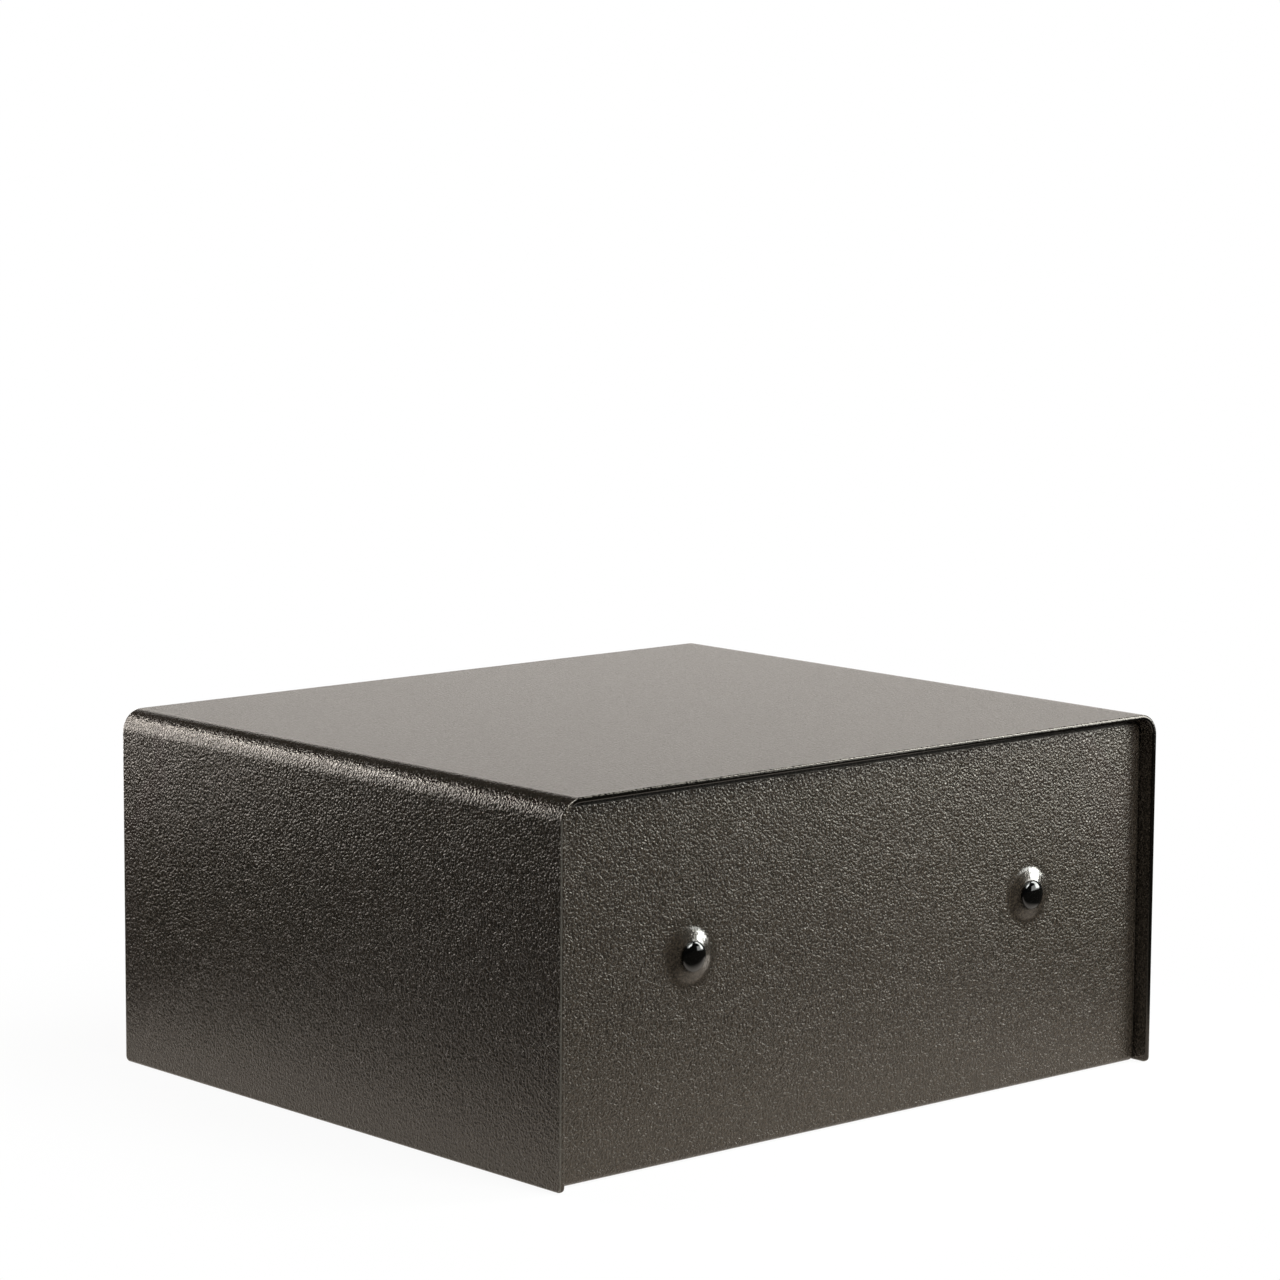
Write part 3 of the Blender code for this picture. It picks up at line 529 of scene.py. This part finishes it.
def addBoss(bm, s, x, face, z):
    count = s["ringSteps"]
    slope = []
    for step in range(s["slopeSteps"] + 1):
        share = step / s["slopeSteps"]
        radius = s["bossFoot"] + (s["bossTop"] - s["bossFoot"]) * share
        slope.append((radius, s["bossHeight"] * slopeRise(share, s["fillets"])))
    slope.append((s["hole"], slope[-1][1]))
    rings = []
    for radius, height in slope:
        ring = []
        for turn in range(count):
            angle = 2 * math.pi * turn / count
            spot = (x + radius * math.cos(angle), face + height, z + radius * math.sin(angle))
            ring.append(bm.verts.new(spot))
        rings.append(ring)
    for outer, inner in zip(rings, rings[1:]):
        for turn in range(count):
            bm.faces.new((outer[turn - 1], inner[turn - 1], inner[turn], outer[turn]))
    return [bm.edges.get((rings[0][turn - 1], rings[0][turn])) for turn in range(count)]


def makeBackPanel(s):
    low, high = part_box("rear_panel")
    face = high.y - s["bossHeight"]
    size = Vector((high.x - low.x, face - low.y, high.z - low.z))
    middle = Vector(((low.x + high.x) / 2, (low.y + face) / 2, (low.z + high.z) / 2))
    bm = bmesh.new()
    bmesh.ops.create_cube(bm, size=1.0)
    bmesh.ops.scale(bm, vec=size, verts=bm.verts)
    bmesh.ops.translate(bm, vec=middle, verts=bm.verts)
    tops = [e for e in bm.edges if min(v.co.z for v in e.verts) > middle.z
            and abs(e.verts[0].co.x - e.verts[1].co.x) < s["fold"]]
    bmesh.ops.bevel(bm, geom=tops, offset=s["corner"], segments=s["cornerSteps"], profile=0.5, affect="EDGES")
    bm.normal_update()
    bmesh.ops.delete(bm, geom=[min(bm.faces, key=lambda f: f.normal.y)], context="FACES_ONLY")
    folds = [e for e in bm.edges if e.is_manifold and e.calc_face_angle() > s["foldAngle"]]
    bmesh.ops.bevel(bm, geom=folds, offset=s["fold"], segments=s["foldSteps"], profile=0.5, affect="EDGES")
    flat = max(bm.faces, key=lambda f: f.calc_area())
    rim = list(flat.edges)
    bmesh.ops.delete(bm, geom=[flat], context="FACES_ONLY")
    for x, z in bossPlaces:
        rim += addBoss(bm, s, x, face, z)
    bmesh.ops.triangle_fill(bm, use_beauty=True, edges=rim, normal=(0, 1, 0))
    bmesh.ops.recalc_face_normals(bm, faces=bm.faces)
    if max(bm.faces, key=lambda f: f.calc_area()).normal.y < 0:
        bmesh.ops.reverse_faces(bm, faces=bm.faces)
    piece = addPiece("backPanel", bm, coatBosses, "case", ["rear_panel"], s["smooth"])
    thickened(piece, s["sheet"])
    normals = piece.modifiers.new("faceNormals", "WEIGHTED_NORMAL")
    normals.keep_sharp = True


makeBackPanel(backPanel)
print("back panel pressed")


# glossy plugs in the wall fixing holes
wallPlug = {"head": 0.008, "seat": 0.0023, "rim": 0.0009, "rise": 0.0023, "stem": 0.0059, "barb": 0.0068,
            "tip": 0.0045, "behind": -0.0003, "tail": 0.005, "lip": 0.0003, "steps": 64, "domeSteps": 14,
            "domePower": 0.9, "smooth": 50.0}


def makePlugs(s):
    profile = []
    for step in range(s["domeSteps"]):
        angle = math.pi / 2 * step / s["domeSteps"]
        rise = s["rise"] * math.cos(angle) ** s["domePower"]
        profile.append((s["head"] * math.sin(angle), s["seat"] + s["rim"] + rise))
    profile += [(s["head"], s["seat"] + s["rim"]), (s["head"], s["seat"] + s["lip"]),
                (s["head"] - s["lip"], s["seat"]), (s["stem"], s["seat"]), (s["stem"], s["behind"]),
                (s["barb"], s["behind"]), (s["tip"], s["behind"] - s["tail"]), (0.0, s["behind"] - s["tail"])]
    for side, (x, z) in zip(("Left", "Right"), bossPlaces):
        bm = turnedMesh(profile, s["steps"], (x, bossFace, z), (0, 1, 0))
        node = "wall_plug_" + side.lower()
        addPiece("wallPlug" + side, bm, plain["glossPlug"], "case", [node], s["smooth"])


makePlugs(wallPlug)
print("plugs set")


# pressed sheet parts keep the CAD's shape, with their cut edges rounded by the coat
sheetParts = {
    "floorTray": {"node": "floor_pan", "body": "case", "round": 0.0005},
    "frontFrame": {"node": "front_frame", "body": "case", "round": 0.0005},
    "jambRing": {"node": "door_jamb", "body": "case", "round": 0.0005},
    "doorSkin": {"node": "door_panel", "body": "door", "round": 0.0005},
    "hingeLeaf": {"node": "flap_hinge_leaf", "body": "door", "round": 0.0004},
    "baffleComb": {"node": "anti_fishing_baffle", "body": "door", "round": 0.0004},
    "flapPlate": {"node": "deposit_flap", "body": "flap", "round": 0.0004},
}
sheetSteps = 2
for name, s in sheetParts.items():
    softened(s["node"], name, coat, s["body"], s["round"], sheetSteps)
print("sheet parts rounded", len(sheetParts))


# small hardware that keeps the CAD's shape
hardware = {
    "camArm": {"node": "lock_cam", "body": "lock_core", "finish": "zincPlate", "slot": "zinc",
               "round": 0.0005},
    "lockPlug": {"node": "lock_plug", "body": "lock_core", "finish": "nickelPlate", "slot": "nickel",
                 "round": 0.00025},
    "flapPin": {"node": "flap_hinge_pin", "body": "door", "finish": "zincPlate", "slot": "zinc",
                "round": 0.0004},
}
pivotParts = {"pivot": {"node": "hinge_pin_", "finish": "zincPlate", "slot": "zinc"},
              "washer": {"node": "hinge_washer_", "finish": "whiteNylon", "slot": "nylon"}}
for name, s in pivotParts.items():
    for end in ("Upper", "Lower"):
        hardware[name + end] = {**s, "node": s["node"] + end.lower(), "body": "case", "round": 0.0003}
for side in ("Left", "Right"):
    hardware["flapBuffer" + side] = {"node": "flap_bumper_" + side.lower(), "body": "door",
                                     "finish": "blackRubber", "slot": "rubber", "round": 0.0012}
for number in range(1, 5):
    hardware[f"doorBuffer{number}"] = {"node": f"door_bumper_{number}", "body": "case",
                                       "finish": "blackRubber", "slot": "rubber", "round": 0.0004}
hardwareSteps = 4
for name, s in hardware.items():
    softened(s["node"], name, plain[s["finish"]], s["body"], s["round"], hardwareSteps)
print("hardware rounded", len(hardware))


# lock barrel with a grooved face and a threaded body
lockBarrel = {
    "place": (0.155, -0.172, 0.100),
    "bore": 0.0063,
    "bodyRadius": 0.0095,
    "threadDepth": 0.0004,
    "threadFrom": -0.0015,
    "pitch": 0.001,
    "turns": 14,
    "end": -0.0159,
    "steps": 64,
    "face": [(0.0063, 0.0030), (0.0066, 0.0033), (0.0084, 0.0033), (0.0086, 0.00305), (0.0092, 0.00305),
             (0.0094, 0.0033), (0.0105, 0.0033), (0.0110, 0.00315), (0.01135, 0.0028), (0.0115, 0.0023),
             (0.0115, 0.0003), (0.0095, 0.0003)],
}
turnedSmooth = 30.0


def makeBarrel(s):
    profile = list(s["face"])
    for turn in range(s["turns"]):
        height = s["threadFrom"] - turn * s["pitch"]
        profile.append((s["bodyRadius"], height))
        profile.append((s["bodyRadius"] - s["threadDepth"], height - s["pitch"] / 2))
    profile += [(s["bodyRadius"] - s["threadDepth"], s["end"]), (s["bore"], s["end"])]
    bm = turnedMesh(profile, s["steps"], s["place"], (0, -1, 0), closed=True)
    addPiece("lockBarrel", bm, plain["nickelPlate"], "door", ["lock_barrel"], turnedSmooth)


makeBarrel(lockBarrel)


# hexagon nut with turned chamfers
lockNut = {"place": (0.155, -0.1697, 0.100), "flats": 0.024, "bore": 0.0098, "height": 0.004,
           "chamfer": 0.0123, "fall": 0.0009, "boreChamfer": 0.0004, "steps": 72}


def makeNut(s):
    corner = s["flats"] / math.sqrt(3)
    levels = [(s["bore"], s["boreChamfer"]), (s["bore"] + s["boreChamfer"], 0.0), (s["chamfer"], 0.0),
              (corner, s["fall"]), (corner, s["height"] - s["fall"]), (s["chamfer"], s["height"]),
              (s["bore"] + s["boreChamfer"], s["height"]), (s["bore"], s["height"] - s["boreChamfer"])]
    bm = bmesh.new()
    rings = []
    for most, height in levels:
        ring = []
        for step in range(s["steps"]):
            angle = 2 * math.pi * step / s["steps"]
            flat = s["flats"] / 2 / math.cos((angle + math.pi / 6) % (math.pi / 3) - math.pi / 6)
            radius = min(most, flat)
            spot = Vector((radius * math.cos(angle), height, radius * math.sin(angle)))
            ring.append(bm.verts.new(spot + Vector(s["place"])))
        rings.append(ring)
    for ring, after in zip(rings, rings[1:] + rings[:1]):
        for step in range(s["steps"]):
            bm.faces.new((ring[step - 1], ring[step], after[step], after[step - 1]))
    bmesh.ops.recalc_face_normals(bm, faces=bm.faces)
    addPiece("lockNut", bm, plain["zincPlate"], "door", ["lock_nut"], turnedSmooth)


makeNut(lockNut)


# cam screw with a cross recess
camScrew = {
    "place": (0.155, -0.1526, 0.100),
    "steps": 48,
    "profile": [(0.0027, 0.0025), (0.0036, 0.0023), (0.0043, 0.0018), (0.0047, 0.0010), (0.0048, 0.0004),
                (0.0046, 0.0), (0.0018, 0.0), (0.0018, -0.0055), (0.0013, -0.0060), (0.0, -0.0060)],
    "recess": {"arm": 0.0022, "half": 0.00048, "taper": 0.55, "depth": 0.0014},
}


def makeScrew(s):
    bm = turnedMesh(s["profile"], s["steps"], s["place"], (0, 1, 0), recess=s["recess"])
    addPiece("camScrew", bm, plain["zincPlate"], "lock_core", ["cam_screw"], turnedSmooth)


makeScrew(camScrew)


# domed rivets through the hinge leaf and the baffle's flange
rivets = {"radius": 0.0023, "height": 0.0011, "sink": 0.00005, "steps": 32, "domeSteps": 7, "smooth": 40.0,
          "leaf": {"xs": (-0.121, -0.046, 0.029, 0.103), "y": -0.1738, "z": 0.1608, "axis": (0, -1, 0)},
          "tail": {"xs": (-0.121, -0.046, 0.029, 0.103), "y": -0.1700, "z": 0.1608, "axis": (0, 1, 0)},
          "baffle": {"xs": (-0.112, -0.009, 0.094), "y": -0.1682, "z": 0.1530, "axis": (0, 1, 0)}}


def makeRivets(s):
    dome = []
    for step in range(s["domeSteps"]):
        angle = math.pi / 2 * step / s["domeSteps"]
        dome.append((s["radius"] * math.sin(angle), s["height"] * math.cos(angle)))
    dome += [(s["radius"], 0.0), (s["radius"], -s["sink"]), (0.0, -s["sink"])]
    for name in ("leaf", "tail", "baffle"):
        row = s[name]
        parts = [turnedMesh(dome, s["steps"], (x, row["y"], row["z"]), row["axis"]) for x in row["xs"]]
        addPiece(name + "Rivets", joinedMesh(parts), coat, "door", smooth=s["smooth"])


makeRivets(rivets)
print("lock and rivets set")


# white floor that glows only in reflections, a painted reflection of a lit table, pale only near the box as
# far as the coat mirrors it, in a dim room
studio = {
    "floorSize": 30.0,
    "floorDrop": 0.0006,
    "floorTone": 0.80,
    "keepShadow": 0.07,
    "shadowReach": (0.03, 0.22),
    "glowReach": (0.045, 0.16),
    "reachStretch": (1.10, 0.80),
    "glowTone": (0.98, 0.913, 0.83),
    "glowEnd": (0.045, 0.042, 0.037),
    "roomFill": 0.02,
}
warm = (1.0, 0.96, 0.92)
cream = (1.0, 0.948, 0.892)
cool = (0.95, 0.98, 0.95)
lamps = {
    "rightTall": {"place": (-1.00, 0.75, 0.46), "aim": (0.0, 0.18, 0.20), "size": (0.34, 0.70),
                  "power": 8.0, "tint": cool},
    "rightHigh": {"place": (-0.70, 0.62, 0.75), "aim": (0.0, 0.18, 0.20), "size": (0.30, 0.30),
                  "power": 4.0, "tint": cool},
    "frontHigh": {"place": (-0.15, 1.35, 1.05), "aim": (0.0, 0.18, 0.10), "size": (0.6, 0.6),
                  "power": 16.0, "tint": cool},
    "frontTop": {"place": (0.0, 0.95, 1.60), "aim": (0.0, 0.15, 0.10), "size": (1.4, 1.4),
                 "power": 21.5, "tint": cool},
    "rightSpot": {"place": (-0.857, 0.868, 0.191), "aim": (0.126, 0.18, 0.107), "size": (0.52, 0.24),
                  "power": 1.2, "tint": cool},
    "leftSoft": {"place": (0.50, -0.85, 0.36), "aim": (0.2, -0.1, 0.15), "size": (0.36, 0.36),
                 "power": 2.1, "tint": warm},
    "leftLow": {"place": (0.55, -0.70, 0.22), "aim": (0.2, -0.1, 0.15), "size": (0.26, 0.26),
                "power": 0.84, "tint": warm},
    "leftBend": {"place": (0.42, -0.505, 0.46), "aim": (0.21, -0.05, 0.19), "size": (0.20, 0.11),
                 "power": 1.15, "tint": warm},
    "backCard": {"place": (-1.50, -1.63, 0.70), "aim": (0.0, 0.0, 0.70), "size": (3.0, 1.0),
                 "power": 13.5, "tint": cream},
    "frontLow": {"place": (-0.40, -1.15, 0.10), "aim": (0.0, -0.17, 0.10), "size": (1.0, 0.18),
                 "power": 6.0, "tint": warm},
}


def makeFloor(s):
    bm = bmesh.new()
    bmesh.ops.create_grid(bm, x_segments=1, y_segments=1, size=s["floorSize"])
    mesh = bpy.data.meshes.new("studioFloor")
    bm.to_mesh(mesh)
    bm.free()
    floor = bpy.data.objects.new("studioFloor", mesh)
    bpy.context.scene.collection.objects.link(floor)
    floor.location.z = -s["floorDrop"]
    f = Finish("studioFloor")
    x, y, _ = f.parts(f.here())
    spread = 0.0
    for axis, half, stretch in zip((x, y), cadHigh, s["reachStretch"]):
        past = f.larger((f.node("Math", {"operation": "ABSOLUTE"}, {0: axis}) - half) * stretch, 0.0)
        spread = past * past + spread
    away = spread ** 0.5
    path = f.node("LightPath", {}, {}, out="Is Camera Ray")
    mirrored = Wire(f, path.socket.node.outputs["Is Glossy Ray"])
    paper = f.node("BsdfDiffuse", {}, {"Color": (s["floorTone"],) * 3})
    white = f.node("Emission", {}, {"Color": (1.0, 1.0, 1.0), "Strength": 1.0})
    # the floor's glow in reflections is painted: pale near the box, dim beyond
    nearGlow = f.between(away, *s["glowReach"], 1.0, 0.0)
    glow = f.mixColour(nearGlow, s["glowEnd"], s["glowTone"])
    reflectedGlow = f.node("Emission", {}, {"Color": glow, "Strength": 1.0})
    seen = path * f.between(away, *s["shadowReach"], 1.0 - s["keepShadow"], 1.0)
    floorSeen = f.node("MixShader", {}, {0: seen, 1: paper, 2: white})
    f.node("OutputMaterial", {}, {"Surface": f.node("MixShader", {}, {0: mirrored, 1: floorSeen, 2: reflectedGlow})})
    mesh.materials.append(f.material)


def makeRoom(s):
    world = bpy.data.worlds.new("studioRoom")
    bpy.context.scene.world = world
    world.use_nodes = True
    w = Finish("studioRoom", world)
    seen = w.node("LightPath", {}, {}, out="Is Camera Ray")
    fill = w.node("Background", {}, {"Color": (1.0, 1.0, 1.0), "Strength": s["roomFill"]})
    white = w.node("Background", {}, {"Color": (1.0, 1.0, 1.0), "Strength": 1.0})
    w.node("OutputWorld", {}, {"Surface": w.node("MixShader", {}, {0: seen, 1: fill, 2: white})})


def makeLamps(rig):
    for name, s in rig.items():
        data = bpy.data.lights.new(name, "AREA")
        data.shape = "RECTANGLE"
        data.size, data.size_y = s["size"]
        data.energy = s["power"]
        data.color = s["tint"]
        lamp = bpy.data.objects.new(name, data)
        bpy.context.scene.collection.objects.link(lamp)
        lamp.location = s["place"]
        aim = Vector(s["aim"]) - Vector(s["place"])
        lamp.rotation_euler = aim.to_track_quat("-Z", "Y").to_euler()
        lamp.visible_camera = False


makeFloor(studio)
makeRoom(studio)
makeLamps(lamps)
print("studio lit")


# the CAD's own solids take the same finishes as the pieces that replace them
nodeFinish = {"bronze_coat": coat, "rubber": plain["blackRubber"], "gloss_plug": plain["glossPlug"],
              "zinc": plain["zincPlate"], "nickel": plain["nickelPlate"], "nylon": plain["whiteNylon"]}
for entry in frame["record"]["subparts"]:
    mesh = nodes[entry["node"]].data
    mesh.materials.clear()
    mesh.materials.append(nodeFinish[entry["material_slot"]])
